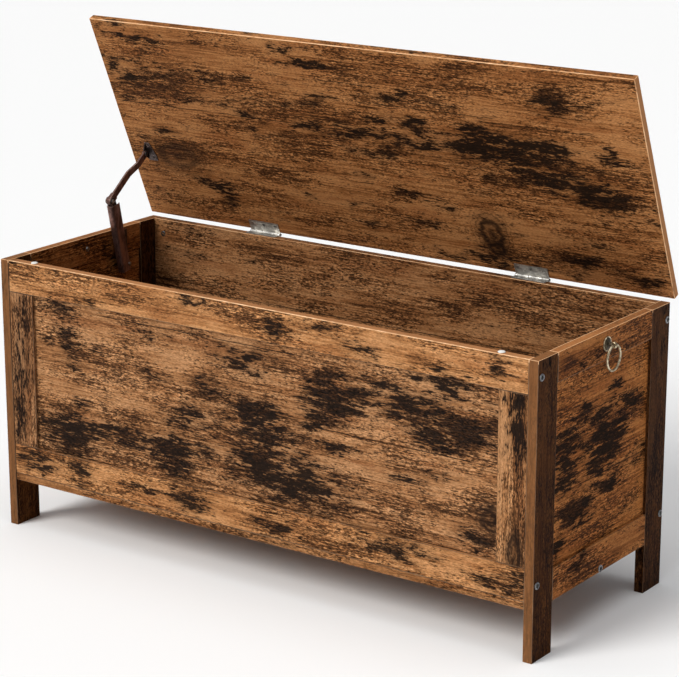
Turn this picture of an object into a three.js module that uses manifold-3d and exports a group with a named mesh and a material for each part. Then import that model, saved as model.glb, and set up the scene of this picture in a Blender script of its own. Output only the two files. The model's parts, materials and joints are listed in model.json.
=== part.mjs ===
// A flat-packed wooden toy chest on four square legs, with its lid propped open.
// Framed and panelled sides and front, a plain back, a floor board, a one-piece lid on two
// butt hinges, a folding lid stay inside the left side, and a ring pull on each side.
// Millimetres, +Z up, +X to the right as seen from the front, -Y towards the front.
import * as THREE from 'three';
import { mergeVertices } from 'three/addons/utils/BufferGeometryUtils.js';
import Module from 'manifold-3d';

// Chest
const BOX_WIDTH = 988;
const BOX_DEPTH = 378;
const BOX_HEIGHT = 444;
const BOARD = 15;
const SETBACK = 1; // front frame, back and floor stand this far inside the side boards' edges
const FIT = 0.3; // gap between neighbouring pieces
const ORIGIN_Y = -7; // centres the open chest's whole outline over the origin

// Side frames
const LEG_WIDTH = 53;
const LEG_CLEARANCE = 78;
const SIDE_TOP_RAIL = 44;
const SIDE_BOTTOM_RAIL = 49;

// Front frame
const FRONT_TOP_RAIL = 51;
const FRONT_BOTTOM_RAIL = 50;
const FRONT_STILE = 48;

// Panels and their grooves
const PANEL = 5;
const GROOVE_DEPTH = 6;
const TONGUE = 5.5;
const SHOULDER = 10;
const FLOOR_BOARD = 12;

// Lid and hinges
const LID_WIDTH = 1000;
const LID_THICKNESS = 12;
const LID_OPEN = THREE.MathUtils.degToRad(67);
const KNUCKLE_RADIUS = 2.8;
const HINGE_SETBACK = 3.1; // hinge line behind the rear edges
const HINGE_LIFT = 1.3; // hinge line above the rim, and below the closed lid
const HINGE_X = 256;
const LEAF_LENGTH = 60;
const LEAF_THICKNESS = 0.9;
const LID_LEAF_WIDTH = 18;
const BOX_LEAF_WIDTH = 13;
const KNUCKLES = 5;
const PIN_RADIUS = 1.2;
const LEAF_SCREW_PITCH = 23;
const LEAF_SCREW_IN = 12; // screws in from the lid's rear edge

// Wood screws
const SCREW_HEAD_RADIUS = 2.9;
const SCREW_RADIUS = 1.5;
const SCREW_LENGTH = 10;
const SCREW_HEAD_DEPTH = 1.4;

// Connector bolts
const BOLT_HEAD_RADIUS = 5.5;
const BOLT_HEAD_HEIGHT = 1.8;
const BOLT_RADIUS = 3;
const BOLT_HOLE_RADIUS = 3.3;
const BOLT_LENGTH = 52;
const BOLT_SOCKET_RADIUS = 2.4;
const BOLT_SOCKET_DEPTH = 1.6;
const TOP_BOLT_Z = 419;
const BOTTOM_BOLT_Z = 115.5;

// Ring pulls
const PULL_Z = 424.5;
const ROSE_RADIUS = 11;
const ROSE_HEIGHT = 3.6;
const POST_RADIUS = 3.2;
const EYE_OUT = 11.5;
const EYE_RADIUS = 5;
const EYE_THICKNESS = 5;
const EYE_HOLE_RADIUS = 2.4;
const RING_RADIUS = 18.75;
const RING_WIRE_RADIUS = 1.75;
const PULL_SCREW_RADIUS = 1.9;
const PULL_SCREW_DEPTH = 6;

// Lid stay, inside the left side. Pivots are [y, z]; the lid's one is in the closed lid's frame.
const STAY_X = -469.2;
const STAY_FOOT = [86.6, 384.3];
const STAY_ELBOW = [50, 497];
const STAY_LID_PIVOT = [-131.6, -8.1];
const BARREL_TILT = THREE.MathUtils.degToRad(12);
const BARREL_OFFSET = 5; // barrel's centre line behind the elbow
const BARREL_THICKNESS = 14;
const BARREL_WIDTH = 21;
const BARREL_CORNER = 4;
const BARREL_TOP = -8;
const BARREL_BOTTOM = -128;
const BARREL_WALL = 1.6;
const BARREL_HOLLOW = 34;
const BARREL_SLOT_WIDTH = 7.6;
const BARREL_SLOT_DEPTH = 26;
const YOKE_CHEEK = 1.5;
const YOKE_HALF_WIDTH = 5.1;
const YOKE_DEPTH = 40;
const YOKE_INSET = 3.1; // clears the barrel's wall and its rounded inner corners
const ARM_HEAD_RADIUS = 7;
const ARM_HEAD_LENGTH = 13;
const ARM_STRIP = 3;
const ARM_WIDTH = 12;
const ARM_END_RADIUS = 5;
const ARM_JOGGLE_START = 60;
const ARM_JOGGLE_END = 82;
const ARM_JOGGLE = 7.2;
const ARM_SLACK_RADIUS = 3.6; // loose hole at the lid end
const RIVET_RADIUS = 1.5;
const RIVET_HEAD_RADIUS = 3.6;
const RIVET_HEAD_HEIGHT = 1.1;
const STAY_PLATE = 2;
const BRACKET_PLATE = 1.3;
const BRACKET_HALF_LENGTH = 17;
const BRACKET_REACH = 19;

// Bumper pads on the front rail
const BUMPER_X = 430;
const BUMPER_RADIUS = 5.5;
const BUMPER_HEIGHT = 2.1;

// Places worked out from the sizes above
const SIDE_OUTER = BOX_WIDTH / 2;
const SIDE_INNER = SIDE_OUTER - BOARD;
const FRONT_FACE = -BOX_DEPTH / 2;
const REAR_FACE = BOX_DEPTH / 2;
const FRAME_FRONT = FRONT_FACE + SETBACK;
const FRAME_REAR = REAR_FACE - SETBACK;
const BOLT_Y = FRAME_REAR - BOARD / 2;
const FLOOR_TOP = LEG_CLEARANCE + FLOOR_BOARD;
const HINGE_LINE = new THREE.Vector3(0, REAR_FACE + HINGE_SETBACK, BOX_HEIGHT + HINGE_LIFT);
const LID_REAR = -HINGE_SETBACK;
const LID_FRONT = LID_REAR - BOX_DEPTH;
const SCREW_ROWS = [-LEAF_SCREW_PITCH, 0, LEAF_SCREW_PITCH];
const STAY_PLATE_FACE = -SIDE_INNER + STAY_PLATE + FIT;
const STAY_PLATE_SCREWS = [412, 430];
const ARM_LID_END_X = ARM_JOGGLE;
const EAR_X = STAY_X + ARM_JOGGLE - ARM_STRIP / 2 - FIT;
const BRACKET_SCREWS = [[EAR_X + 11, -121], [EAR_X + 5.5, -144.5]];

// Finishes
const printedWood = new THREE.MeshStandardMaterial({ color: 0x8a5a34, roughness: 0.6, metalness: 0 });
const nickel = new THREE.MeshStandardMaterial({ color: 0xb4b0a6, roughness: 0.35, metalness: 1 });
const zinc = new THREE.MeshStandardMaterial({ color: 0xc4c6c8, roughness: 0.3, metalness: 1 });
const antiqueBrass = new THREE.MeshStandardMaterial({ color: 0x9c8c66, roughness: 0.35, metalness: 1 });
const bronze = new THREE.MeshStandardMaterial({ color: 0x4e3128, roughness: 0.4, metalness: 0.8 });
const whiteRubber = new THREE.MeshStandardMaterial({ color: 0xeeeeea, roughness: 0.5, metalness: 0 });

const wasm = await Module();
wasm.setup();

const chest = new THREE.Group();
chest.position.y = ORIGIN_Y;
const lid = new THREE.Group();
lid.position.copy(HINGE_LINE);
lid.rotation.x = -LID_OPEN;
chest.add(lid);

function add(parent, name, geometry, material) {
  const mesh = new THREE.Mesh(geometry, material);
  mesh.name = name;
  parent.add(mesh);
  return mesh;
}

// Booleans: a closed geometry becomes a solid, and the result becomes a geometry again.
function toSolid(geometry) {
  const bare = geometry.clone();
  bare.deleteAttribute('normal');
  bare.deleteAttribute('uv');
  const welded = mergeVertices(bare, 1e-4);
  const vertProperties = Float32Array.from(welded.attributes.position.array);
  const triVerts = Uint32Array.from(welded.index.array);
  return new wasm.Manifold(new wasm.Mesh({ numProp: 3, vertProperties, triVerts }));
}

function toGeometry(solid) {
  const { vertProperties, triVerts } = solid.getMesh();
  const geometry = new THREE.BufferGeometry();
  geometry.setAttribute('position', new THREE.BufferAttribute(vertProperties, 3));
  geometry.setIndex(new THREE.BufferAttribute(triVerts, 1));
  return geometry;
}

function cut(geometry, tools) {
  return toGeometry(tools.reduce((solid, tool) => solid.subtract(toSolid(tool)), toSolid(geometry)));
}

function join(first, others) {
  return toGeometry(others.reduce((solid, other) => solid.add(toSolid(other)), toSolid(first)));
}

function common(first, second) {
  return toGeometry(toSolid(first).intersect(toSolid(second)));
}

// A box given by its range on each axis
function block([x0, x1], [y0, y1], [z0, z1]) {
  const box = new THREE.BoxGeometry(x1 - x0, y1 - y0, z1 - z0);
  return box.translate((x0 + x1) / 2, (y0 + y1) / 2, (z0 + z1) / 2);
}

// A round bar along X, Y or Z between two places on that axis
function rodX([x0, x1], y, z, radius, sides = 12) {
  const rod = new THREE.CylinderGeometry(radius, radius, x1 - x0, sides);
  return rod.rotateZ(-Math.PI / 2).translate((x0 + x1) / 2, y, z);
}

function rodY(x, [y0, y1], z, radius, sides = 12) {
  const rod = new THREE.CylinderGeometry(radius, radius, y1 - y0, sides);
  return rod.translate(x, (y0 + y1) / 2, z);
}

function rodZ(x, y, [z0, z1], radius, sides = 12) {
  const rod = new THREE.CylinderGeometry(radius, radius, z1 - z0, sides);
  return rod.rotateX(Math.PI / 2).translate(x, y, (z0 + z1) / 2);
}

// A flat piece whose outline is drawn in [y, z] and whose thickness runs along X
function sidePlate(outline, [x0, x1]) {
  const plate = new THREE.ExtrudeGeometry(outline, { depth: x1 - x0, bevelEnabled: false, curveSegments: 6 });
  const axes = new THREE.Matrix4().makeBasis(
    new THREE.Vector3(0, 1, 0),
    new THREE.Vector3(0, 0, 1),
    new THREE.Vector3(1, 0, 0),
  );
  return plate.applyMatrix4(axes).translate(x0, 0, 0);
}

function outlineOf(points) {
  return new THREE.Shape(points.map(([a, b]) => new THREE.Vector2(a, b)));
}

// Range on X of a side board, left (-1) or right (+1)
function sideRange(side, inner, outer) {
  return side < 0 ? [-outer, -inner] : [inner, outer];
}

// ---- Side frames: two full-height legs, two rails and a grooved-in panel each ----

function sideLeg(side, end) {
  const x = sideRange(side, SIDE_INNER, SIDE_OUTER);
  const outerEdge = end * REAR_FACE;
  const innerEdge = outerEdge - end * LEG_WIDTH;
  const y = [Math.min(outerEdge, innerEdge), Math.max(outerEdge, innerEdge)];
  const leg = block(x, y, [0, BOX_HEIGHT]);
  const grooveFloor = innerEdge + end * GROOVE_DEPTH;
  const grooveMouth = innerEdge - end;
  const groove = block(
    sideRange(side, SIDE_INNER + PANEL, SIDE_OUTER - PANEL),
    [Math.min(grooveFloor, grooveMouth), Math.max(grooveFloor, grooveMouth)],
    [LEG_CLEARANCE + SHOULDER - FIT, BOX_HEIGHT - SHOULDER + FIT],
  );
  const through = sideRange(side, SIDE_INNER - 1, SIDE_OUTER + 1);
  const holes = [TOP_BOLT_Z, BOTTOM_BOLT_Z].map((z) => rodX(through, end * BOLT_Y, z, BOLT_HOLE_RADIUS));
  return cut(leg, [groove, ...holes]);
}

function sideRail(side, z, groovedEdge, holes) {
  const half = REAR_FACE - LEG_WIDTH - FIT;
  const rail = block(sideRange(side, SIDE_INNER, SIDE_OUTER), [-half, half], z);
  const tenons = block(
    sideRange(side, SIDE_INNER + PANEL + FIT, SIDE_OUTER - PANEL - FIT),
    [-half - TONGUE, half + TONGUE],
    [z[0] + SHOULDER, z[1] - SHOULDER],
  );
  const inward = groovedEdge === z[0] ? GROOVE_DEPTH : -GROOVE_DEPTH;
  const groove = block(
    sideRange(side, SIDE_INNER + PANEL, SIDE_OUTER - PANEL),
    [-REAR_FACE, REAR_FACE],
    [Math.min(groovedEdge + inward, groovedEdge - inward), Math.max(groovedEdge + inward, groovedEdge - inward)],
  );
  return cut(join(rail, [tenons]), [groove, ...holes]);
}

function sidePanel(side) {
  const halfWidth = REAR_FACE - LEG_WIDTH + TONGUE;
  const bottom = LEG_CLEARANCE + SIDE_BOTTOM_RAIL - TONGUE;
  const top = BOX_HEIGHT - SIDE_TOP_RAIL + TONGUE;
  const x = sideRange(side, SIDE_INNER + PANEL + FIT, SIDE_OUTER - PANEL - FIT);
  return block(x, [-halfWidth, halfWidth], [bottom, top]);
}

function buildSide(side, sideName) {
  const through = sideRange(side, SIDE_INNER - 1, SIDE_OUTER + 1);
  const topHoles = [rodX(through, 0, PULL_Z, PULL_SCREW_RADIUS + FIT)];
  if (side < 0) {
    const depth = [-SIDE_INNER - SCREW_LENGTH, -SIDE_INNER + 1];
    STAY_PLATE_SCREWS.forEach((z) => topHoles.push(rodX(depth, STAY_FOOT[0], z, SCREW_RADIUS + FIT)));
  }
  const floorHole = rodX(through, 0, LEG_CLEARANCE + FLOOR_BOARD / 2, BOLT_HOLE_RADIUS);
  const topRail = [BOX_HEIGHT - SIDE_TOP_RAIL, BOX_HEIGHT];
  const bottomRail = [LEG_CLEARANCE, LEG_CLEARANCE + SIDE_BOTTOM_RAIL];
  add(chest, `${sideName}_front_leg`, sideLeg(side, -1), printedWood);
  add(chest, `${sideName}_rear_leg`, sideLeg(side, 1), printedWood);
  add(chest, `${sideName}_top_rail`, sideRail(side, topRail, topRail[0], topHoles), printedWood);
  add(chest, `${sideName}_bottom_rail`, sideRail(side, bottomRail, bottomRail[1], [floorHole]), printedWood);
  add(chest, `${sideName}_panel`, sidePanel(side), printedWood);
}

// ---- Front frame: full-width rails, two stiles between them, and a grooved-in panel ----

function frontRail(z, groovedEdge, boltZ) {
  const half = SIDE_INNER - FIT;
  const y = [FRAME_FRONT, FRAME_FRONT + BOARD];
  const groove = block(
    [-SIDE_OUTER, SIDE_OUTER],
    [y[0] + PANEL, y[1] - PANEL],
    [groovedEdge - GROOVE_DEPTH, groovedEdge + GROOVE_DEPTH],
  );
  const boltHoles = [-1, 1].map((side) => {
    const bored = sideRange(side, SIDE_OUTER - BOLT_LENGTH - 1, SIDE_OUTER);
    return rodX(bored, -BOLT_Y, boltZ, BOLT_HOLE_RADIUS);
  });
  return cut(block([-half, half], y, z), [groove, ...boltHoles]);
}

function frontStile(side) {
  const x = sideRange(side, SIDE_INNER - FRONT_STILE, SIDE_INNER - FIT);
  const y = [FRAME_FRONT, FRAME_FRONT + BOARD];
  const bottom = FLOOR_TOP + FRONT_BOTTOM_RAIL + FIT;
  const top = BOX_HEIGHT - FRONT_TOP_RAIL - FIT;
  const tenons = block(x, [y[0] + PANEL + FIT, y[1] - PANEL - FIT], [bottom - TONGUE, top + TONGUE]);
  const innerEdge = side * (SIDE_INNER - FRONT_STILE);
  const groove = block(
    [innerEdge - GROOVE_DEPTH, innerEdge + GROOVE_DEPTH],
    [y[0] + PANEL, y[1] - PANEL],
    [bottom - SHOULDER, top + SHOULDER],
  );
  return cut(join(block(x, y, [bottom, top]), [tenons]), [groove]);
}

function frontPanel() {
  const half = SIDE_INNER - FRONT_STILE + TONGUE;
  const y = [FRAME_FRONT + PANEL + FIT, FRAME_FRONT + BOARD - PANEL - FIT];
  const bottom = FLOOR_TOP + FRONT_BOTTOM_RAIL - TONGUE;
  return block([-half, half], y, [bottom, BOX_HEIGHT - FRONT_TOP_RAIL + TONGUE]);
}

function buildFront() {
  const topRail = [BOX_HEIGHT - FRONT_TOP_RAIL, BOX_HEIGHT];
  const bottomRail = [FLOOR_TOP + FIT, FLOOR_TOP + FRONT_BOTTOM_RAIL];
  add(chest, 'front_top_rail', frontRail(topRail, topRail[0], TOP_BOLT_Z), printedWood);
  add(chest, 'front_bottom_rail', frontRail(bottomRail, bottomRail[1], BOTTOM_BOLT_Z), printedWood);
  add(chest, 'front_left_stile', frontStile(-1), printedWood);
  add(chest, 'front_right_stile', frontStile(1), printedWood);
  add(chest, 'front_panel', frontPanel(), printedWood);
}

// ---- Back, floor and lid boards, with their bolt and screw holes ----

function backPanel() {
  const half = SIDE_INNER - FIT;
  const board = block([-half, half], [FRAME_REAR - BOARD, FRAME_REAR], [FLOOR_TOP + FIT, BOX_HEIGHT]);
  const holes = [-1, 1].flatMap((side) => [TOP_BOLT_Z, BOTTOM_BOLT_Z].map((z) => {
    const bored = sideRange(side, SIDE_OUTER - BOLT_LENGTH - 1, SIDE_OUTER);
    return rodX(bored, BOLT_Y, z, BOLT_HOLE_RADIUS);
  }));
  return cut(board, holes);
}

function floorBoard() {
  const half = SIDE_INNER - FIT;
  const board = block([-half, half], [FRAME_FRONT, FRAME_REAR], [LEG_CLEARANCE, FLOOR_TOP]);
  const holes = [-1, 1].map((side) => {
    const bored = sideRange(side, SIDE_OUTER - BOLT_LENGTH - 1, SIDE_OUTER);
    return rodX(bored, 0, LEG_CLEARANCE + FLOOR_BOARD / 2, BOLT_HOLE_RADIUS);
  });
  return cut(board, holes);
}

function lidBoard() {
  const half = LID_WIDTH / 2;
  const board = block([-half, half], [LID_FRONT, LID_REAR], [HINGE_LIFT, HINGE_LIFT + LID_THICKNESS]);
  const depth = [0, HINGE_LIFT + SCREW_LENGTH];
  const hingeHoles = [-1, 1].flatMap((side) => SCREW_ROWS.map((row) => (
    rodZ(side * HINGE_X + row, LID_REAR - LEAF_SCREW_IN, depth, SCREW_RADIUS + FIT)
  )));
  const stayHoles = BRACKET_SCREWS.map(([x, y]) => rodZ(x, y, depth, SCREW_RADIUS + FIT));
  return cut(board, [...hingeHoles, ...stayHoles]);
}

// ---- Fasteners ----

// Countersunk wood screw, head up at the origin, pointing down -Y before it is turned
function woodScrew() {
  const profile = [
    [0, 0],
    [SCREW_HEAD_RADIUS, 0],
    [SCREW_HEAD_RADIUS, -0.2],
    [SCREW_RADIUS, -SCREW_HEAD_DEPTH],
    [SCREW_RADIUS, 1.5 - SCREW_LENGTH],
    [0, -SCREW_LENGTH],
  ];
  return latheOf(profile, 10);
}

// Low round head with a six-sided socket on a plain shank, the same way up
function connectorBolt() {
  const profile = [
    [0, BOLT_HEAD_HEIGHT],
    [BOLT_HEAD_RADIUS - 0.8, BOLT_HEAD_HEIGHT],
    [BOLT_HEAD_RADIUS, BOLT_HEAD_HEIGHT - 0.8],
    [BOLT_HEAD_RADIUS, 0],
    [BOLT_RADIUS, 0],
    [BOLT_RADIUS, 1 - BOLT_LENGTH],
    [BOLT_RADIUS - 1, -BOLT_LENGTH],
    [0, -BOLT_LENGTH],
  ];
  const socketDepth = BOLT_SOCKET_DEPTH + 1;
  const socket = new THREE.CylinderGeometry(BOLT_SOCKET_RADIUS, BOLT_SOCKET_RADIUS, socketDepth, 6);
  socket.translate(0, BOLT_HEAD_HEIGHT + 1 - socketDepth / 2, 0);
  return cut(latheOf(profile, 14), [socket]);
}

// Lathe profiles here run from the top of the axis out and down to its bottom end.
function latheOf(profile, segments) {
  const points = profile.map(([radius, height]) => new THREE.Vector2(radius, height)).reverse();
  return new THREE.LatheGeometry(points, segments);
}

function buildBolts() {
  const ends = [['front', -1], ['rear', 1]];
  const levels = [['top', TOP_BOLT_Z], ['bottom', BOTTOM_BOLT_Z]];
  for (const [sideName, side] of [['left', -1], ['right', 1]]) {
    const placeBolt = (name, y, z) => {
      const bolt = add(chest, name, connectorBolt(), zinc);
      bolt.position.set(side * (SIDE_OUTER + FIT), y, z);
      bolt.rotation.z = -side * Math.PI / 2;
    };
    for (const [endName, end] of ends) {
      levels.forEach(([level, z]) => placeBolt(`${sideName}_${endName}_${level}_bolt`, end * BOLT_Y, z));
    }
    placeBolt(`${sideName}_floor_bolt`, 0, LEG_CLEARANCE + FLOOR_BOARD / 2);
  }
}

// ---- Butt hinges: a leaf under the lid, a leaf on the back's rim, and a pin ----

// Knuckles of one leaf along X: the lid's leaf has the odd ones, the box's leaf the even ones
function knuckleRanges(isLidLeaf) {
  const length = LEAF_LENGTH / KNUCKLES;
  const all = Array.from({ length: KNUCKLES }, (_, i) => [i, -LEAF_LENGTH / 2 + i * length]);
  return all
    .filter(([i]) => (i % 2 === 0) === isLidLeaf)
    .map(([, start]) => [start + FIT / 2, start + length - FIT / 2]);
}

// The leaf lies on -Y from the hinge line; level is the height of its middle plane.
function hingeLeaf(isLidLeaf, width, level) {
  const z = [level - LEAF_THICKNESS / 2, level + LEAF_THICKNESS / 2];
  const clear = KNUCKLE_RADIUS + FIT;
  const plate = block([-LEAF_LENGTH / 2, LEAF_LENGTH / 2], [-HINGE_SETBACK - width, -clear], z);
  const barrels = knuckleRanges(isLidLeaf).map((x) => rodX(x, 0, 0, KNUCKLE_RADIUS, 14));
  const tabs = knuckleRanges(isLidLeaf).map((x) => block(x, [-clear - 1, -PIN_RADIUS - FIT], z));
  const bore = rodX([-LEAF_LENGTH, LEAF_LENGTH], 0, 0, PIN_RADIUS + FIT / 2);
  const holes = SCREW_ROWS.map((row) => (
    rodZ(row, -HINGE_SETBACK - LEAF_SCREW_IN, [level - 1, level + 1], SCREW_HEAD_RADIUS + FIT)
  ));
  return cut(join(plate, [...tabs, ...barrels]), isLidLeaf ? [bore, ...holes] : [bore]);
}

function buildHinge(side, sideName) {
  const level = HINGE_LIFT - FIT - LEAF_THICKNESS / 2;
  const lidLeaf = add(lid, `${sideName}_hinge_lid_leaf`, hingeLeaf(true, LID_LEAF_WIDTH, level), nickel);
  lidLeaf.position.x = side * HINGE_X;
  const boxLeaf = add(chest, `${sideName}_hinge_box_leaf`, hingeLeaf(false, BOX_LEAF_WIDTH, -level), nickel);
  boxLeaf.position.set(side * HINGE_X, HINGE_LINE.y, HINGE_LINE.z);
  const pin = add(chest, `${sideName}_hinge_pin`, hingePin(), nickel);
  pin.position.copy(boxLeaf.position);
  SCREW_ROWS.forEach((row, i) => {
    const screw = add(lid, `${sideName}_hinge_screw_${i + 1}`, woodScrew(), nickel);
    screw.position.set(side * HINGE_X + row, LID_REAR - LEAF_SCREW_IN, HINGE_LIFT - FIT - LEAF_THICKNESS);
    screw.rotation.x = -Math.PI / 2;
  });
}

function hingePin() {
  const half = LEAF_LENGTH / 2;
  const shaft = rodX([-half - 0.5, half + 0.5], 0, 0, PIN_RADIUS);
  return join(shaft, [-1, 1].map((end) => {
    const cap = [half + FIT, half + FIT + 0.9].map((x) => end * x);
    return rodX([Math.min(...cap), Math.max(...cap)], 0, 0, KNUCKLE_RADIUS - 0.5);
  }));
}

// ---- Ring pulls: a domed rose with a post and an eye, a loose ring, and a screw from inside ----

function pullRose() {
  const profile = [
    [0, EYE_OUT - EYE_RADIUS + 1.5],
    [POST_RADIUS, EYE_OUT - EYE_RADIUS + 1.5],
    [POST_RADIUS - 0.4, ROSE_HEIGHT + 0.8],
    [POST_RADIUS + 1.6, ROSE_HEIGHT],
    [ROSE_RADIUS * 0.72, ROSE_HEIGHT * 0.74],
    [ROSE_RADIUS * 0.94, ROSE_HEIGHT * 0.4],
    [ROSE_RADIUS, 0.6],
    [ROSE_RADIUS, 0],
    [0, 0],
  ];
  const dome = latheOf(profile, 20).rotateZ(-Math.PI / 2);
  const halfEye = EYE_THICKNESS / 2;
  const eye = rodY(EYE_OUT, [-halfEye, halfEye], 0, EYE_RADIUS, 16);
  const hole = rodY(EYE_OUT, [-EYE_THICKNESS, EYE_THICKNESS], 0, EYE_HOLE_RADIUS);
  const thread = rodX([-1, PULL_SCREW_DEPTH], 0, 0, PULL_SCREW_RADIUS + FIT / 2);
  return cut(join(dome, [eye]), [hole, thread]);
}

function pullRing() {
  const ring = new THREE.TorusGeometry(RING_RADIUS, RING_WIRE_RADIUS, 8, 36);
  return ring.rotateY(Math.PI / 2).translate(EYE_OUT, 0, -RING_RADIUS);
}

// Pan head inside the chest, shank through the rail into the rose
function pullScrew() {
  const inside = -BOARD - 2 * FIT;
  const profile = [
    [0, PULL_SCREW_DEPTH - 1],
    [PULL_SCREW_RADIUS, PULL_SCREW_DEPTH - 1],
    [PULL_SCREW_RADIUS, inside],
    [4, inside],
    [3.6, inside - 1.6],
    [0, inside - 2.2],
  ];
  return latheOf(profile, 16).rotateZ(-Math.PI / 2);
}

function buildPull(side, sideName) {
  const pull = new THREE.Group();
  pull.position.set(side * (SIDE_OUTER + FIT), 0, PULL_Z);
  pull.rotation.z = side < 0 ? Math.PI : 0;
  chest.add(pull);
  add(pull, `${sideName}_pull_rose`, pullRose(), antiqueBrass);
  add(pull, `${sideName}_pull_ring`, pullRing(), antiqueBrass);
  add(pull, `${sideName}_pull_screw`, pullScrew(), zinc);
}

// ---- Lid stay: wall plate, hollow barrel with a yoke, folding arm and lid bracket ----

// Turns [y, z] about the hinge line by the lid's opening, into the chest's frame
function lidToChest([y, z]) {
  const cos = Math.cos(LID_OPEN);
  const sin = Math.sin(LID_OPEN);
  return [HINGE_LINE.y + y * cos + z * sin, HINGE_LINE.z - y * sin + z * cos];
}

// A rivet along X with a head at each end
function rivet([x0, x1], y, z) {
  const heads = [[x0, x0 + RIVET_HEAD_HEIGHT], [x1 - RIVET_HEAD_HEIGHT, x1]];
  return join(rodX([x0, x1], y, z, RIVET_RADIUS), heads.map((x) => rodX(x, y, z, RIVET_HEAD_RADIUS)));
}

// The foot pivot in the tilted barrel's own frame, which has the elbow at its origin
function footInBarrel() {
  const y = STAY_FOOT[0] - STAY_ELBOW[0];
  const z = STAY_FOOT[1] - STAY_ELBOW[1];
  const cos = Math.cos(BARREL_TILT);
  const sin = Math.sin(BARREL_TILT);
  return [y * cos + z * sin, z * cos - y * sin];
}

function roundedBar(halfX, halfY, corner, [z0, z1]) {
  const outline = new THREE.Shape();
  outline.moveTo(halfX, corner - halfY);
  outline.absarc(halfX - corner, halfY - corner, corner, 0, Math.PI / 2);
  outline.absarc(corner - halfX, halfY - corner, corner, Math.PI / 2, Math.PI);
  outline.absarc(corner - halfX, corner - halfY, corner, Math.PI, 1.5 * Math.PI);
  outline.absarc(halfX - corner, corner - halfY, corner, 1.5 * Math.PI, 2 * Math.PI);
  const bar = new THREE.ExtrudeGeometry(outline, { depth: z1 - z0, bevelEnabled: false, curveSegments: 4 });
  return bar.translate(0, BARREL_OFFSET, z0);
}

function stayBarrel() {
  const halfX = BARREL_THICKNESS / 2;
  const halfY = BARREL_WIDTH / 2;
  const body = roundedBar(halfX, halfY, BARREL_CORNER, [BARREL_BOTTOM, BARREL_TOP]);
  const hollow = roundedBar(
    halfX - BARREL_WALL,
    halfY - BARREL_WALL,
    BARREL_CORNER - BARREL_WALL,
    [BARREL_TOP - BARREL_HOLLOW, BARREL_TOP + 1],
  );
  const slot = block(
    [-BARREL_SLOT_WIDTH / 2, BARREL_SLOT_WIDTH / 2],
    [BARREL_OFFSET, BARREL_OFFSET + BARREL_WIDTH],
    [BARREL_TOP - BARREL_SLOT_DEPTH, BARREL_TOP + 1],
  );
  const [footY, footZ] = footInBarrel();
  const pivotHole = rodX([-BARREL_THICKNESS, BARREL_THICKNESS], footY, footZ, RIVET_RADIUS + FIT);
  return cut(body, [hollow, slot, pivotHole]);
}

// Two cheeks joined at the bottom, held in the barrel's hollow and rising to the elbow rivet
function stayYoke() {
  const front = BARREL_OFFSET - BARREL_WIDTH / 2 + YOKE_INSET;
  const rear = BARREL_OFFSET + BARREL_WIDTH / 2 - YOKE_INSET;
  const outline = new THREE.Shape();
  outline.moveTo(front, -YOKE_DEPTH);
  outline.lineTo(rear, -YOKE_DEPTH);
  outline.lineTo(rear, BARREL_TOP - BARREL_SLOT_DEPTH);
  outline.lineTo(ARM_HEAD_RADIUS + 1, BARREL_TOP);
  outline.absarc(0, 0, ARM_HEAD_RADIUS, 0, Math.PI);
  outline.lineTo(front, BARREL_TOP);
  const cheeks = sidePlate(outline, [-YOKE_HALF_WIDTH, YOKE_HALF_WIDTH]);
  const between = YOKE_HALF_WIDTH - YOKE_CHEEK;
  const gap = block([-between, between], [-BARREL_WIDTH, BARREL_WIDTH], [2 - YOKE_DEPTH, BARREL_WIDTH]);
  const pivotHole = rodX([-BARREL_THICKNESS, BARREL_THICKNESS], 0, 0, RIVET_RADIUS + FIT);
  return cut(cheeks, [gap, pivotHole]);
}

// Thick head between the yoke's cheeks, then a flat strip that steps sideways to the lid bracket
function stayArm(length) {
  const headHalf = YOKE_HALF_WIDTH - YOKE_CHEEK - FIT;
  const head = new THREE.Shape();
  head.moveTo(0, -ARM_HEAD_RADIUS);
  head.lineTo(ARM_HEAD_LENGTH, -ARM_WIDTH / 2);
  head.lineTo(ARM_HEAD_LENGTH, ARM_WIDTH / 2);
  head.lineTo(0, ARM_HEAD_RADIUS);
  head.absarc(0, 0, ARM_HEAD_RADIUS, Math.PI / 2, 1.5 * Math.PI);
  const strip = new THREE.Shape();
  strip.moveTo(0, -ARM_WIDTH / 2);
  strip.lineTo(ARM_JOGGLE_START, -ARM_WIDTH / 2);
  strip.lineTo(length, -ARM_END_RADIUS);
  strip.absarc(length, 0, ARM_END_RADIUS, -Math.PI / 2, Math.PI / 2);
  strip.lineTo(ARM_JOGGLE_START, ARM_WIDTH / 2);
  strip.lineTo(0, ARM_WIDTH / 2);
  const half = ARM_STRIP / 2;
  const far = length + 2 * ARM_END_RADIUS;
  const steppedSection = outlineOf([
    [-half, 0],
    [half, 0],
    [half, ARM_JOGGLE_START],
    [ARM_JOGGLE + half, ARM_JOGGLE_END],
    [ARM_JOGGLE + half, far],
    [ARM_JOGGLE - half, far],
    [ARM_JOGGLE - half, ARM_JOGGLE_END],
    [-half, ARM_JOGGLE_START],
  ]);
  const stepped = new THREE.ExtrudeGeometry(steppedSection, { depth: 2 * ARM_WIDTH, bevelEnabled: false });
  stepped.translate(0, 0, -ARM_WIDTH);
  const flat = sidePlate(strip, [-BARREL_WIDTH, BARREL_WIDTH]);
  const thickHead = sidePlate(head, [-headHalf, headHalf]);
  const elbowHole = rodX([-BARREL_WIDTH, BARREL_WIDTH], 0, 0, RIVET_RADIUS + FIT);
  const lidHole = rodX([-BARREL_WIDTH, BARREL_WIDTH], length, 0, ARM_SLACK_RADIUS);
  return cut(join(thickHead, [common(flat, stepped)]), [elbowHole, lidHole]);
}

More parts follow.
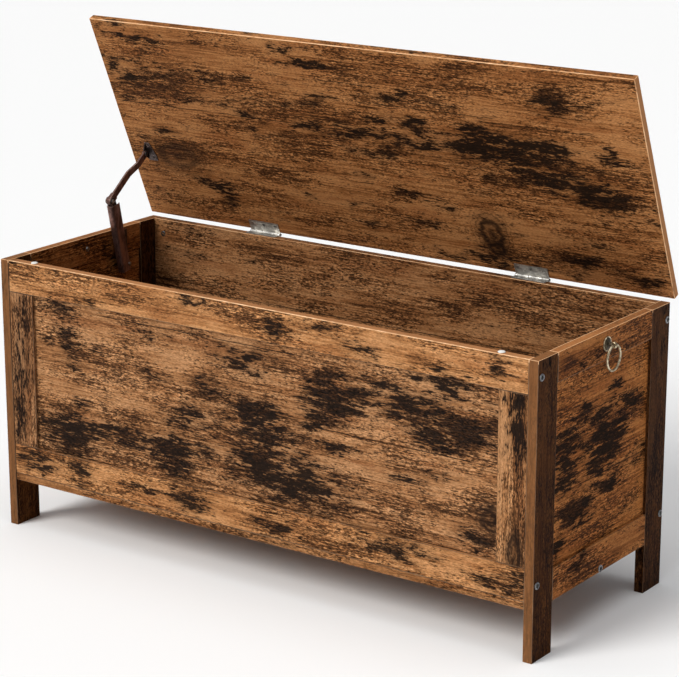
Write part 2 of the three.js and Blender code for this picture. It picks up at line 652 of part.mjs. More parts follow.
// Drawn in the closed lid's frame: an ear hanging from a triangular foot under the lid
function lidBracket() {
  const [y, z] = STAY_LID_PIVOT;
  const top = HINGE_LIFT - FIT;
  const ear = new THREE.Shape();
  ear.moveTo(y - BRACKET_HALF_LENGTH, top);
  ear.lineTo(y - ARM_END_RADIUS, z);
  ear.absarc(y, z, ARM_END_RADIUS, Math.PI, 2 * Math.PI);
  ear.lineTo(y + BRACKET_HALF_LENGTH, top);
  const foot = new THREE.ExtrudeGeometry(outlineOf([
    [EAR_X - BRACKET_PLATE, y - BRACKET_HALF_LENGTH],
    [EAR_X + 9, y - BRACKET_HALF_LENGTH],
    [EAR_X - BRACKET_PLATE + BRACKET_REACH, y + BRACKET_HALF_LENGTH - 9],
    [EAR_X - BRACKET_PLATE + BRACKET_REACH, y + BRACKET_HALF_LENGTH],
    [EAR_X - BRACKET_PLATE, y + BRACKET_HALF_LENGTH],
  ]), { depth: BRACKET_PLATE, bevelEnabled: false });
  foot.translate(0, 0, top - BRACKET_PLATE);
  const screwHoles = BRACKET_SCREWS.map(([x, row]) => rodZ(x, row, [top - 3, top + 1], SCREW_HEAD_RADIUS + FIT));
  const pivotHole = rodX([EAR_X - BRACKET_REACH, EAR_X + BRACKET_REACH], y, z, RIVET_RADIUS + FIT / 2);
  return cut(join(sidePlate(ear, [EAR_X - BRACKET_PLATE, EAR_X]), [foot]), [...screwHoles, pivotHole]);
}

function wallPlate() {
  const [y] = STAY_FOOT;
  const halfWidth = 12;
  const bottom = STAY_FOOT[1] - halfWidth;
  const top = BOX_HEIGHT - 4;
  const outline = new THREE.Shape();
  outline.moveTo(y + halfWidth, STAY_FOOT[1]);
  outline.lineTo(y + halfWidth, top);
  outline.lineTo(y - halfWidth, top);
  outline.absarc(y, bottom + halfWidth, halfWidth, Math.PI, 2 * Math.PI);
  const plate = sidePlate(outline, [STAY_PLATE_FACE - STAY_PLATE, STAY_PLATE_FACE]);
  const across = [STAY_PLATE_FACE - 2 * STAY_PLATE, STAY_PLATE_FACE + STAY_PLATE];
  const screwHoles = STAY_PLATE_SCREWS.map((z) => rodX(across, y, z, SCREW_HEAD_RADIUS + FIT));
  return cut(plate, [...screwHoles, rodX(across, y, STAY_FOOT[1], RIVET_RADIUS + FIT)]);
}

function buildStay() {
  const elbow = new THREE.Vector3(STAY_X, ...STAY_ELBOW);
  add(chest, 'stay_wall_plate', wallPlate(), bronze);
  STAY_PLATE_SCREWS.forEach((z, i) => {
    const screw = add(chest, `stay_plate_screw_${i + 1}`, woodScrew(), bronze);
    screw.position.set(STAY_PLATE_FACE, STAY_FOOT[0], z);
    screw.rotation.z = -Math.PI / 2;
  });
  const footRivetRange = [STAY_PLATE_FACE - STAY_PLATE - FIT - RIVET_HEAD_HEIGHT, STAY_X + BARREL_THICKNESS / 2];
  footRivetRange[1] += FIT + RIVET_HEAD_HEIGHT;
  add(chest, 'stay_foot_rivet', rivet(footRivetRange, ...STAY_FOOT), zinc);

  const barrel = new THREE.Group();
  barrel.position.copy(elbow);
  barrel.rotation.x = BARREL_TILT;
  chest.add(barrel);
  add(barrel, 'stay_barrel', stayBarrel(), bronze);
  add(barrel, 'stay_yoke', stayYoke(), bronze);
  const elbowReach = YOKE_HALF_WIDTH + FIT + RIVET_HEAD_HEIGHT;
  add(barrel, 'stay_elbow_rivet', rivet([-elbowReach, elbowReach], 0, 0), zinc);

  const [lidY, lidZ] = lidToChest(STAY_LID_PIVOT);
  const reachY = lidY - STAY_ELBOW[0];
  const reachZ = lidZ - STAY_ELBOW[1];
  const arm = add(chest, 'stay_arm', stayArm(Math.hypot(reachY, reachZ)), bronze);
  arm.position.copy(elbow);
  arm.rotation.x = Math.atan2(reachZ, reachY);

  add(lid, 'stay_lid_bracket', lidBracket(), bronze);
  const armFace = STAY_X + ARM_LID_END_X + ARM_STRIP / 2;
  const lidRivetRange = [EAR_X - BRACKET_PLATE - FIT - RIVET_HEAD_HEIGHT, armFace + FIT + RIVET_HEAD_HEIGHT];
  add(lid, 'stay_lid_rivet', rivet(lidRivetRange, ...STAY_LID_PIVOT), zinc);
  BRACKET_SCREWS.forEach(([x, y], i) => {
    const screw = add(lid, `stay_bracket_screw_${i + 1}`, woodScrew(), bronze);
    screw.position.set(x, y, HINGE_LIFT - FIT - BRACKET_PLATE);
    screw.rotation.x = -Math.PI / 2;
  });
}

// ---- Bumper pads that the lid closes on ----

function bumper() {
  const profile = [
    [0, BUMPER_HEIGHT],
    [BUMPER_RADIUS * 0.6, BUMPER_HEIGHT * 0.9],
    [BUMPER_RADIUS * 0.9, BUMPER_HEIGHT * 0.5],
    [BUMPER_RADIUS, 0],
    [0, 0],
  ];
  return latheOf(profile, 16).rotateX(Math.PI / 2);
}

function buildBumpers() {
  for (const [sideName, side] of [['left', -1], ['right', 1]]) {
    const pad = add(chest, `${sideName}_bumper`, bumper(), whiteRubber);
    pad.position.set(side * BUMPER_X, -BOLT_Y, BOX_HEIGHT + FIT / 2);
  }
}

buildSide(-1, 'left');
buildSide(1, 'right');
buildFront();
add(chest, 'back_panel', backPanel(), printedWood);
add(chest, 'floor_board', floorBoard(), printedWood);
add(lid, 'lid_board', lidBoard(), printedWood);
buildBolts();
buildHinge(-1, 'left');
buildHinge(1, 'right');
buildPull(-1, 'left');
buildPull(1, 'right');
buildStay();
buildBumpers();

export default chest;
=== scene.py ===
import json
import math

import bmesh
import bpy
from mathutils import Matrix, Vector


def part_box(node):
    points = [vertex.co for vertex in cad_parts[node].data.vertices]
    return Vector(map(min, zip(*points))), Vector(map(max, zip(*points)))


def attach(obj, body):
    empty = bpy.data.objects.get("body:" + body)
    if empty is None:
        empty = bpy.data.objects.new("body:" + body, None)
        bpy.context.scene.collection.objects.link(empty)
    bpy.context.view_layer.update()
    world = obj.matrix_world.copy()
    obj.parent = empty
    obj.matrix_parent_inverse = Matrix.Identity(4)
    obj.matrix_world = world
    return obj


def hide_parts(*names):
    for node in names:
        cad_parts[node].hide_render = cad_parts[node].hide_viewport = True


# A wooden toy chest with its lid propped open: boards faced with a print of old barn wood, two
# nickel hinges, a bronze lid stay and a ring pull on each side. +Z is up and the front faces -Y.
# Places are in metres, and the named sizes of prints, edges and fittings are in millimetres.
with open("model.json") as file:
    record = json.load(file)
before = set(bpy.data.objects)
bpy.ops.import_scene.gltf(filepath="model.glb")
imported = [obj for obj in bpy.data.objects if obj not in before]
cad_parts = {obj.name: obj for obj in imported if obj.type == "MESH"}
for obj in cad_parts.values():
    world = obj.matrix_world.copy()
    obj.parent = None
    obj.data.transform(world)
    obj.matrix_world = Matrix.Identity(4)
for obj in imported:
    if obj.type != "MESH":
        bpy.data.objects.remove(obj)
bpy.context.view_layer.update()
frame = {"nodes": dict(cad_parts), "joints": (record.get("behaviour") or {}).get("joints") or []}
nodes = frame["nodes"]

# ---- Studio ----
# A wide pale floor, a broad key light from the front left, a softer one overhead, a faint strip
# light on the right, and a long lens from the front right, above the open lid.
camera = bpy.data.objects.new("camera", bpy.data.cameras.new("camera"))
CAMERA_TURN = math.radians(35.37)
CAMERA_DIP = math.radians(15.93)
camera.location = (2.085, -2.903, 1.369)
camera.rotation_euler = (math.pi / 2 - CAMERA_DIP, 0, CAMERA_TURN)
camera.data.lens = 127.75
camera.data.sensor_width = 36
bpy.context.scene.collection.objects.link(camera)
bpy.context.scene.camera = camera
bpy.context.scene.view_settings.view_transform = "Standard"


def softbox(name, place, aim, size, watts, tint):
    """A rectangular lamp aimed at a point."""
    lamp = bpy.data.objects.new(name, bpy.data.lights.new(name, "AREA"))
    lamp.data.shape = "RECTANGLE"
    lamp.data.size, lamp.data.size_y = size
    lamp.data.energy = watts
    lamp.data.color = tint
    lamp.location = place
    lamp.rotation_euler = (Vector(aim) - Vector(place)).to_track_quat("-Z", "Y").to_euler()
    bpy.context.scene.collection.objects.link(lamp)


def sunlight(name, toward, strength, spread, tint):
    """Light from all over one direction, with shadows softened by its spread in degrees."""
    lamp = bpy.data.objects.new(name, bpy.data.lights.new(name, "SUN"))
    lamp.data.energy = strength
    lamp.data.angle = math.radians(spread)
    lamp.data.color = tint
    lamp.rotation_euler = Vector(toward).to_track_quat("-Z", "Y").to_euler()
    bpy.context.scene.collection.objects.link(lamp)


sunlight("key_light", (0.30, 0.72, -0.62), 2.3, 28, (1.0, 0.985, 0.96))
sunlight("overhead_light", (-0.05, 0.1, -1.0), 1.0, 60, (1.0, 1.0, 1.0))
softbox("front_strip", (1.2, -3.2, 1.9), (0.1, 0, 0.35), (0.5, 1.6), 9, (1.0, 1.0, 1.0))

world = bpy.data.worlds.new("studio")
world.use_nodes = True
room_light = world.node_tree.nodes["Background"]
room_light.inputs["Color"].default_value = (0.95, 0.97, 1.0, 1)
room_light.inputs["Strength"].default_value = 0.3
bpy.context.scene.world = world

FLOOR_HALF = 200
floor_mesh = bpy.data.meshes.new("studio_floor")
corners = [(x * FLOOR_HALF, y * FLOOR_HALF, 0) for x, y in ((-1, -1), (1, -1), (1, 1), (-1, 1))]
floor_mesh.from_pydata(corners, [], [(0, 1, 2, 3)])
floor = bpy.data.objects.new("studio_floor", floor_mesh)
bpy.context.scene.collection.objects.link(floor)
floor_finish = bpy.data.materials.new("pale_floor")
floor_finish.use_nodes = True
floor_shader = floor_finish.node_tree.nodes["Principled BSDF"]
floor_shader.inputs["Base Color"].default_value = (0.93, 0.93, 0.93, 1)
floor_shader.inputs["Roughness"].default_value = 0.9
floor_mesh.materials.append(floor_finish)


# ---- Front frame ----
# A grooved frame of two full-width rails and two stiles round a thin panel. All are particle board
# faced with printed paper: orange-brown old wood with streaky grain, black smudges that break into
# fine cracks, knots and plank joints.
class Field:
    """One output socket of a finish. Arithmetic on fields adds Math nodes to the same finish."""

    def __init__(self, socket):
        self.socket = socket

    def node(self, kind, settings, inputs, output=0):
        """Adds a node: its settings first, then a value or another field for each input."""
        tree = self.socket.id_data
        made = tree.nodes.new("ShaderNode" + kind)
        for key, value in settings.items():
            if key == "stops":
                for stop, (place, colour) in zip(made.color_ramp.elements, value):
                    stop.position = place
                    stop.color = colour
                for place, colour in value[2:]:
                    made.color_ramp.elements.new(place).color = colour
            else:
                setattr(made, key, value)
        for key, value in inputs.items():
            if isinstance(value, Field):
                tree.links.new(value.socket, made.inputs[key])
            else:
                made.inputs[key].default_value = value
        return Field(made.outputs[output])

    def maths(self, operation, *values):
        """A Math node on this field and any other values."""
        return self.node("Math", {"operation": operation}, dict(enumerate((self, *values))))

    def vector(self, operation, *values, output="Vector"):
        """A Vector Math node on this field and any other vectors."""
        inputs = dict(enumerate((self, *values)))
        return self.node("VectorMath", {"operation": operation}, inputs, output)

    def __add__(self, other):
        return self.maths("ADD", other)

    def __radd__(self, other):
        return self.maths("ADD", other)

    def __sub__(self, other):
        return self.maths("SUBTRACT", other)

    def __rsub__(self, other):
        return self.node("Math", {"operation": "SUBTRACT"}, {0: other, 1: self})

    def __mul__(self, other):
        return self.maths("MULTIPLY", other)

    def __rmul__(self, other):
        return self.maths("MULTIPLY", other)

    def __abs__(self):
        return self.maths("ABSOLUTE")

    def at_least(self, other):
        """The larger of this field and another."""
        return self.maths("MAXIMUM", other)

    def rise(self, low, high):
        """Goes smoothly from 0 at low to 1 at high, or down when low is the larger."""
        inputs = {"Value": self, "From Min": low, "From Max": high}
        return self.node("MapRange", {"interpolation_type": "SMOOTHSTEP"}, inputs)

    def along(self, direction):
        """How far a position lies along a direction."""
        return self.vector("DOT_PRODUCT", direction, output="Value")

    def scaled(self, by):
        """A vector or colour with each of its numbers multiplied by one number."""
        return self.node("VectorMath", {"operation": "SCALE"}, {0: self, "Scale": by})

    def noise(self, spread, seed, detail=2.0, roughness=0.5, output="Fac"):
        """Noise whose lumps are about one spread long on each axis."""
        finer = tuple(1 / size for size in spread)
        place = self.vector("MULTIPLY_ADD", finer, (seed * 3.7, seed * 5.3, seed * 7.1))
        inputs = {"Vector": place, "Scale": 1.0, "Detail": detail, "Roughness": roughness}
        return self.node("TexNoise", {}, inputs, output)


def paint(under, over, mask):
    """Lays one colour over another where the mask is 1."""
    return mask.node("Mix", {"data_type": "RGBA"}, {0: mask, 6: under, 7: over}, 2)


def new_finish(name, constants):
    """A finish with its unchanging sockets set, its shader, and the position it varies over, in mm."""
    finish = bpy.data.materials.new(name)
    finish.use_nodes = True
    tree = finish.node_tree
    shader = tree.nodes["Principled BSDF"]
    for socket, value in constants.items():
        shader.inputs[socket].default_value = value
    place = Field(tree.nodes.new("ShaderNodeTexCoord").outputs["Object"])
    return finish, shader, place.scaled(1000.0)


def feed(shader, colour, roughness, height, depth):
    """Links what varies: colour, roughness, and a height with its depth in metres."""
    tree = shader.id_data
    tree.links.new(colour.socket, shader.inputs["Base Color"])
    tree.links.new(roughness.socket, shader.inputs["Roughness"])
    bump = height.node("Bump", {}, {"Height": height, "Distance": depth}, "Normal")
    tree.links.new(bump.socket, shader.inputs["Normal"])


X, Y, Z = (1, 0, 0), (0, 1, 0), (0, 0, 1)
RIM = 1000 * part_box("front_top_rail")[1].z
SOOT = (0.0085, 0.0058, 0.0048, 1)
UMBER = (0.040, 0.0175, 0.0082, 1)
BROWN = (0.130, 0.0540, 0.0205, 1)
TAN = (0.270, 0.121, 0.0475, 1)
PALE = (0.400, 0.203, 0.092, 1)
RUST = (0.230, 0.086, 0.031, 1)
EDGING = (0.420, 0.190, 0.078, 1)
# The next two colours are a board's pale bare edge with a painted highlight laid on it.
RUBBED_EDGE_AND_SHEEN = (0.64, 0.34, 0.16, 1)
BARE_EDGE_AND_HIGHLIGHT = (0.95, 0.62, 0.36, 1)
PRINT_RELIEF = 0.00016
ARRIS_RELIEF = 0.0001


def reach_from(place, mid, height, half, tall):
    """How far a position is from the middle of a smudge or knot, in its own half sizes."""
    fitted = place.vector("MULTIPLY_ADD", (1 / half, 1 / tall, 0), (-mid / half, -height / tall, 0))
    return fitted.vector("LENGTH", output="Value")


def paint_knots(colour, knots, lay, ragged, scratch):
    """Knots: a dark brim round a small eye, with faint rings outside it."""
    centred = ragged.vector("SUBTRACT", (0.5, 0.5, 0.5))
    bent = centred.vector("MULTIPLY_ADD", (30, 18, 0), lay)
    for mid, height, half, tall, strength in knots:
        reach = reach_from(bent, mid, height, half, tall)
        bands = reach * (0.5 * tall + 6.0) + scratch * 3.0
        rings = bands.maths("SINE").rise(0.2, 0.95) * reach.rise(2.2, 1.2) * 0.6
        brim = abs(reach + scratch * 0.6 - 1.1).rise(0.28, 0.06)
        eye = reach.rise(0.42, 0.1) * 0.8
        colour = paint(colour, UMBER, reach.rise(1.9, 0.6) * 0.55)
        colour = paint(colour, SOOT, brim.at_least(eye).at_least(rings) * strength)
    return colour


def paint_joints(colour, joints, lay, over, patch, seed):
    """Plank joints: a fine dark line that wavers, broken where the print is worn."""
    waver = over + (lay.noise((60, 60, 60), seed, 3, 0.6) - 0.5) * 5.0
    run = lay.along(X)
    for height, first, last in joints:
        line = abs(waver - height).rise(1.2, 0.3)
        ends = run.rise(first, first + 15) * run.rise(last, last - 15)
        colour = paint(colour, SOOT, line * ends * (patch.rise(0.3, 0.5) * 0.7 + 0.2))
    return colour


def printed_wood(name, grain, across, seed, marks=(), knots=(), joints=(), start=0.0,
                 tint=(1.0, 1.0, 1.0), soot=0.5, banded=()):
    """The print on a board. Marks are soft black smudges and knots are ringed eyes, each given as
    (mm along the grain, mm across it, half length, half height, strength); joints are plank joints
    (mm across, first mm along, last mm along). Start is the mm across at the board's datum. Banded
    lists edges covered with paler edging: a direction, how many mm out the edge is, a strength."""
    finish, shader, place = new_finish(name, {"Specular IOR Level": 0.03})
    over = place.along(across) - start
    parts = {0: place.along(grain), 1: over, 2: place.along(Vector(grain).cross(Vector(across)))}
    lay = place.node("CombineXYZ", {}, parts)

    # Old wood: slow changes of tone along the boards, then growth lines, long threads and fibres.
    drift = lay.noise((90, 34, 34), seed, 3, 0.55, "Color")
    sway = drift.vector("MULTIPLY_ADD", (46, 20, 20), lay)
    tone = sway.noise((230, 30, 30), seed + 1, 4, 0.6)
    patch = sway.noise((75, 34, 34), seed + 2, 4, 0.6)
    fibre = lay.noise((34, 2.6, 2.6), seed + 3, 4, 0.7)
    scratch = sway.noise((9, 3.0, 3.0), seed + 4, 4, 0.78)
    thread = lay.noise((170, 3.0, 3.0), seed + 17, 3, 0.65)
    growth = sway.noise((420, 30, 30), seed + 5, 2, 0.5) * 90.0
    worn = sway.noise((130, 42, 42), seed + 10, 3, 0.6)
    coarse = worn.rise(0.36, 0.62)
    fine = (fibre - 0.5) * (coarse * 1.7 + 0.6) + (scratch - 0.5) * (coarse * 1.6 + 0.2)
    fine = fine + (thread - 0.5) * (coarse * 0.6 + 1.3)
    light = tone * 1.5 + patch * 0.8 - worn * 0.7 + fine + growth.maths("SINE") * 0.06 - 0.12
    stops = ((0.08, UMBER), (0.92, PALE), (0.32, BROWN), (0.6, TAN))
    colour = light.node("ValToRGB", {"stops": stops}, {"Fac": light})
    reddish = sway.noise((150, 22, 22), seed + 6, 2, 0.5).rise(0.52, 0.72) * 0.4
    colour = paint(colour, RUST, reddish)

    # Smudges: the placed ones and fainter ones from noise, torn along the grain and broken up.
    ragged = lay.noise((40, 17, 17), seed + 7, 5, 0.68, "Color")
    spot = ragged.vector("MULTIPLY_ADD", (70, 40, 0), (-35, -20, 0)).vector("ADD", lay)
    tear = lay.noise((70, 3.6, 3.6), seed + 15, 3, 0.65)
    torn = lay.node("CombineXYZ", {}, {0: (tear - 0.5) * 100.0})
    flat = spot.vector("MULTIPLY_ADD", (1, 1, 0), torn)
    cover = (patch * 3.0 + tone * 2.0 + (soot * 0.4 - 2.75)).at_least(0.0)
    for mid, height, half, tall, strength in marks:
        reach = reach_from(flat, mid, height, half, tall)
        cover = cover + reach.maths("MULTIPLY_ADD", -0.8 * strength, 1.3 * strength).at_least(0.0)
    broken = sway.noise((44, 11, 11), seed + 16, 4, 0.7)
    cover = cover * (broken.rise(0.35, 0.62) * 0.95 + 0.52)
    cracks = sway.noise((17, 3.4, 3.4), seed + 8, 3, 0.7)
    chips = lay.noise((10, 1.9, 1.9), seed + 12, 2, 0.6)
    rough = (cracks - 0.5) * 2.6 + (chips - 0.5) * 3.6
    soft = (cover * 1.1 + rough * 0.26).rise(0.14, 1.25)
    hard = (cover * 1.4 + rough).rise(1.00, 1.42)
    core = (cover + (cracks - 0.5) * 1.8).rise(0.80, 1.7)
    colour = paint(colour, UMBER, soft * 0.72)
    colour = paint(colour, SOOT, (hard * 0.93).at_least(core * 0.96))

    # Small dashes where the print is worn, hair-fine splits along the grain, and a fine grit.
    dashes = lay.noise((9, 2.2, 2.2), seed + 9, 2, 0.6)
    dots = (dashes + worn * 0.6).rise(0.86, 0.92)
    splits = sway.noise((150, 2.6, 2.6), seed + 14, 3, 0.5).rise(0.66, 0.72)
    colour = paint(colour, UMBER, dots.at_least(splits) * 0.85)
    grit = lay.noise((4.5, 1.9, 1.9), seed + 13, 1, 0.5)
    colour = colour.scaled((grit - 0.5) * (coarse * 2.2 + 1.2) + 1.0)

    colour = paint_knots(colour, knots, lay, ragged, scratch)
    colour = paint_joints(colour, joints, lay, over, patch, seed + 11)
    colour = colour.vector("MULTIPLY", tint)
    for direction, distance, strength in banded:
        band = place.along(direction).rise(distance - 0.5, distance - 0.2)
        blend = 1.0 - soft * 0.35 + (fibre - 0.5) * 1.2 + (patch - 0.5) * 0.9
        colour = paint(colour, EDGING, band * blend * strength)
    dry = 0.5 + fibre * 0.16 + hard * 0.1
    relief = fibre * 0.6 + scratch * 0.3 - hard * 0.5 - dots * 0.4
    feed(shader, colour, dry, relief, PRINT_RELIEF)
    return finish


def lit_and_shaded_arris(name, grain, across, seed):
    """The thin line along an arris where the print stops: pale on the rim and the lid, partly the
    board's bare edge and partly a painted highlight, with painted shade on every arris lower down.
    """
    finish, shader, place = new_finish(name, {"Specular IOR Level": 0.15})
    parts = {0: place.along(grain), 1: place.along(across), 2: 0.0}
    lay = place.node("CombineXYZ", {}, parts)
    rub = lay.noise((60, 60, 60), seed, 4, 0.7)
    nicks = lay.noise((8, 5, 5), seed + 1, 3, 0.6)
    light = rub * 0.7 + nicks * 0.5
    stops = ((0.34, BROWN), (0.76, BARE_EDGE_AND_HIGHLIGHT), (0.52, RUBBED_EDGE_AND_SHEEN))
    colour = light.node("ValToRGB", {"stops": stops}, {"Fac": light})
    # Below the rim every arris is painted dark, as painted shade along the joints and edges; on the
    # rim and the lid it keeps its pale colour with the painted highlight.
    highlit_rim = place.along(Z).rise(RIM - 6, RIM - 3)
    colour = paint(paint(colour, UMBER, 1.1 - rub * 0.5), colour, highlit_rim)
    feed(shader, colour, 0.45 + rub * 0.2, nicks, ARRIS_RELIEF)
    return finish


arris_finish = lit_and_shaded_arris("arris_highlight_and_shade", X, Z, 3)
# Arris widths in mm; the wider ones on the rims and the lid show more of the painted highlight.
ARRIS = 0.6
HIGHLIT_ARRIS = 1.0
SIDE_RIM_ARRIS = 1.2


def soften_edges(piece, width):
    """Rounds a faceted piece's edges in its second material, by a width in mm."""
    weld = piece.modifiers.new("weld", "WELD")
    weld.merge_threshold = 1e-5
    clean = piece.modifiers.new("flat_faces", "DECIMATE")
    clean.decimate_type = "DISSOLVE"
    clean.angle_limit = math.radians(2)
    edge = piece.modifiers.new("arris", "BEVEL")
    edge.width = width / 1000
    edge.segments = 2
    edge.limit_method = "ANGLE"
    edge.angle_limit = math.radians(50)
    edge.use_clamp_overlap = False
    edge.material = 1


def dress_board(node, finish, arris=ARRIS):
    """Faces a board with its print and softens its edges."""
    board = nodes[node]
    board.data.materials.clear()
    board.data.materials.append(finish)
    board.data.materials.append(arris_finish)
    soften_edges(board, arris)


PANEL_MARKS = (
    (-361, 331, 26, 38, 0.95), (-304, 325, 13, 11, 1.0), (-416, 321, 10, 8, 1.0),
    (-351, 287, 14, 5, 0.9), (-336, 233, 17, 8, 0.95), (-371, 171, 52, 38, 1.15),
    (-227, 194, 115, 16, 0.95), (-154, 171, 32, 32, 1.0), (-87, 301, 32, 19, 0.9),
    (3, 287, 38, 15, 1.05), (-14, 357, 52, 20, 0.8), (-130, 247, 42, 22, 0.8),
    (19, 251, 78, 34, 0.68), (146, 327, 44, 38, 1.35), (113, 284, 20, 9, 1.0),
    (156, 251, 23, 10, 1.05), (3, 201, 18, 14, 1.25), (80, 175, 95, 38, 0.78),
    (350, 380, 48, 14, 0.85), (290, 335, 66, 26, 0.8), (370, 322, 24, 20, 1.1),
    (402, 317, 17, 18, 1.0), (336, 290, 44, 15, 1.15), (226, 364, 32, 18, 0.7),
    (276, 227, 28, 12, 0.95), (329, 246, 27, 8, 0.95), (422, 203, 16, 14, 1.1),
    (400, 161, 44, 13, 1.0), (428, 325, 10, 45, 0.8), (-381, 377, 42, 11, 0.65),
    (-200, 370, 32, 16, 0.65), (-200, 302, 42, 14, 0.65), (-70, 185, 340, 34, 0.3),
    (290, 335, 150, 46, 0.22), (20, 245, 140, 60, 0.25), (-20, 350, 150, 36, 0.2),
)
TOP_RAIL_MARKS = (
    (46, 418, 27, 22, 1.0), (-107, 436, 36, 11, 0.95), (203, 411, 32, 13, 0.85),
    (329, 409, 14, 7, 1.0), (352, 397, 26, 8, 0.9), (430, 424, 16, 24, 0.95),
    (-311, 399, 13, 6, 1.1), (-467, 441, 16, 5, 1.0), (120, 432, 60, 12, 0.62),
)
BOTTOM_RAIL_MARKS = (
    (-341, 117, 24, 30, 0.9), (-430, 121, 54, 24, 0.85), (-120, 117, 40, 24, 0.9),
    (53, 110, 62, 17, 0.8), (246, 121, 88, 22, 0.8), (440, 108, 58, 12, 1.0),
    (-207, 118, 48, 4, 1.1), (473, 128, 10, 16, 1.0),
)
front_panel_print = printed_wood(
    "front_panel_print", X, Z, 2, PANEL_MARKS, knots=((424, 198, 26, 20, 0.7),),
    joints=((277, 80, 432), (140, -430, 430), (381, -300, 90)), soot=-0.2)
front_rail_print = printed_wood(
    "front_rail_print", X, Z, 17, TOP_RAIL_MARKS + BOTTOM_RAIL_MARKS, tint=(1.17, 1.13, 1.03),
    soot=-0.4, banded=((Z, RIM, 0.85),))
left_stile_print = printed_wood(
    "left_stile_print", Z, X, 31, ((270, -458, 70, 22, 0.75), (365, -452, 30, 20, 0.7),
                                   (185, -466, 40, 16, 0.6)), tint=(0.83, 0.83, 0.86), soot=0.3)
right_stile_print = printed_wood(
    "right_stile_print", Z, X, 37, ((334, 465, 46, 16, 1.1), (384, 455, 16, 24, 1.0),
                                    (262, 468, 24, 14, 0.6)),
    knots=((150, 462, 42, 11, 0.8),), tint=(1.0, 0.99, 0.97), soot=-0.1)
dress_board("front_top_rail", front_rail_print, HIGHLIT_ARRIS)
dress_board("front_bottom_rail", front_rail_print)
dress_board("front_panel", front_panel_print)
dress_board("front_left_stile", left_stile_print)
dress_board("front_right_stile", right_stile_print)

# ---- Side frames ----
# Each side is two full-height legs, two rails between them and a thin panel, all of printed board.
# The right one's marks are listed one by one, and the left one has the same sheet turned round.
SIDE_MARKS = (
    (17, 281, 40, 32, 1.4), (-19, 241, 14, 15, 0.95), (21, 204, 24, 10, 1.05),
    (-129, 151, 22, 16, 1.15), (-76, 187, 36, 18, 0.85), (-116, 244, 38, 14, 0.9),
    (-96, 297, 56, 28, 0.78), (31, 351, 17, 16, 0.95), (-46, 341, 24, 14, 0.85),
    (84, 311, 30, 20, 0.85), (-20, 260, 130, 70, 0.25), (-90, 200, 60, 70, 0.2),
)
SIDE_RAIL_MARKS = (
    (-76, 412, 17, 6, 1.0), (-33, 417, 12, 20, 0.7), (-79, 112, 14, 9, 1.0), (-53, 118, 18, 8, 0.85),
)
FRONT = -1000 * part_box("right_front_leg")[0].y
for side, forward in (("right", 1), ("left", -1)):
    turned_marks = tuple((mid * forward, *rest) for mid, *rest in SIDE_MARKS)
    turned_rail_marks = tuple((mid * forward, *rest) for mid, *rest in SIDE_RAIL_MARKS)
    seed = 50 + 20 * forward
    # The side boards are tinted darker and warmer than the front's print, and the legs far darker:
    # painted shade for a side turned from the light, given to both sides alike.
    panel_print = printed_wood(
        side + "_panel_print", Y, Z, seed, turned_marks, joints=((229, -140, 130), (333, -148, 20)),
        tint=(1.08, 0.83, 0.52), soot=0.8)
    rail_print = printed_wood(
        side + "_rail_print", Y, Z, seed + 3, turned_rail_marks, tint=(0.97, 0.75, 0.50), soot=-0.3,
        banded=((Z, RIM, 0.5),))
    front_leg_print = printed_wood(
        side + "_front_leg_print", Z, Y, seed + 6, tint=(0.215, 0.152, 0.084), soot=0.7,
        banded=((Z, RIM, 0.5), ((0, -1, 0), FRONT, 0.32)))
    rear_leg_print = printed_wood(
        side + "_rear_leg_print", Z, Y, seed + 9, tint=(0.21, 0.16, 0.115), soot=1.0,
        banded=((Z, RIM, 0.5),))
    dress_board(side + "_panel", panel_print)
    dress_board(side + "_top_rail", rail_print, SIDE_RIM_ARRIS)
    dress_board(side + "_bottom_rail", rail_print)
    dress_board(side + "_front_leg", front_leg_print)
    dress_board(side + "_rear_leg", rear_leg_print)

# ---- Back and floor ----
# A plain back board between the rear legs and a floor board under it, bolted through the legs.
dress_board("back_panel", printed_wood(
    "back_print", X, Z, 83, joints=((330, -480, 480), (210, -480, 480)), tint=(0.85, 0.80, 0.74),
    soot=0.5))
dress_board("floor_board", printed_wood(
    "floor_print", X, Y, 91, tint=(0.80, 0.74, 0.66), soot=0.6))

# ---- Lid ----
# One wide board with square edges, printed on both faces with a darker, yellower sheet.
hinge = next(joint for joint in frame["joints"] if joint["name"] == "lid_hinge")
hinge_line = Vector(hinge["pos_m"])
lid_open = -math.radians(hinge["range_deg"][0])
UP_LID = (0, -math.cos(lid_open), math.sin(lid_open))
LID_MARKS = (
    (-420, 353, 29, 7, 1.1), (-377, 350, 12, 6, 0.9), (-70, 341, 42, 7, 1.3),
    (-113, 358, 20, 5, 0.9), (-270, 291, 22, 8, 0.9), (-207, 298, 14, 6, 0.9),
    (-90, 275, 26, 12, 0.9), (27, 255, 22, 7, 1.0), (100, 255, 15, 14, 1.0),
    (99, 308, 12, 13, 1.0), (210, 263, 18, 9, 1.2), (250, 235, 92, 24, 0.85),
    (360, 325, 42, 22, 0.95), (443, 245, 13, 14, 1.1), (327, 178, 17, 14, 0.8),
    (413, 165, 42, 22, 1.0), (-413, 180, 27, 8, 1.0), (410, 121, 11, 5, 1.0),
    (63, 125, 28, 7, 1.0), (200, 31, 38, 28, 0.9), (350, 45, 48, 13, 1.05),
    (453, 28, 36, 9, 1.1), (100, 71, 27, 6, 0.9), (-33, 53, 25, 8, 0.8),
    (0, 222, 210, 34, 0.6), (-400, 278, 110, 46, 0.6), (53, 301, 17, 9, 0.8),
    (-320, 71, 30, 30, 0.8), (330, 200, 120, 50, 0.55),
)
LID_END = 1000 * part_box("lid_board")[1].x
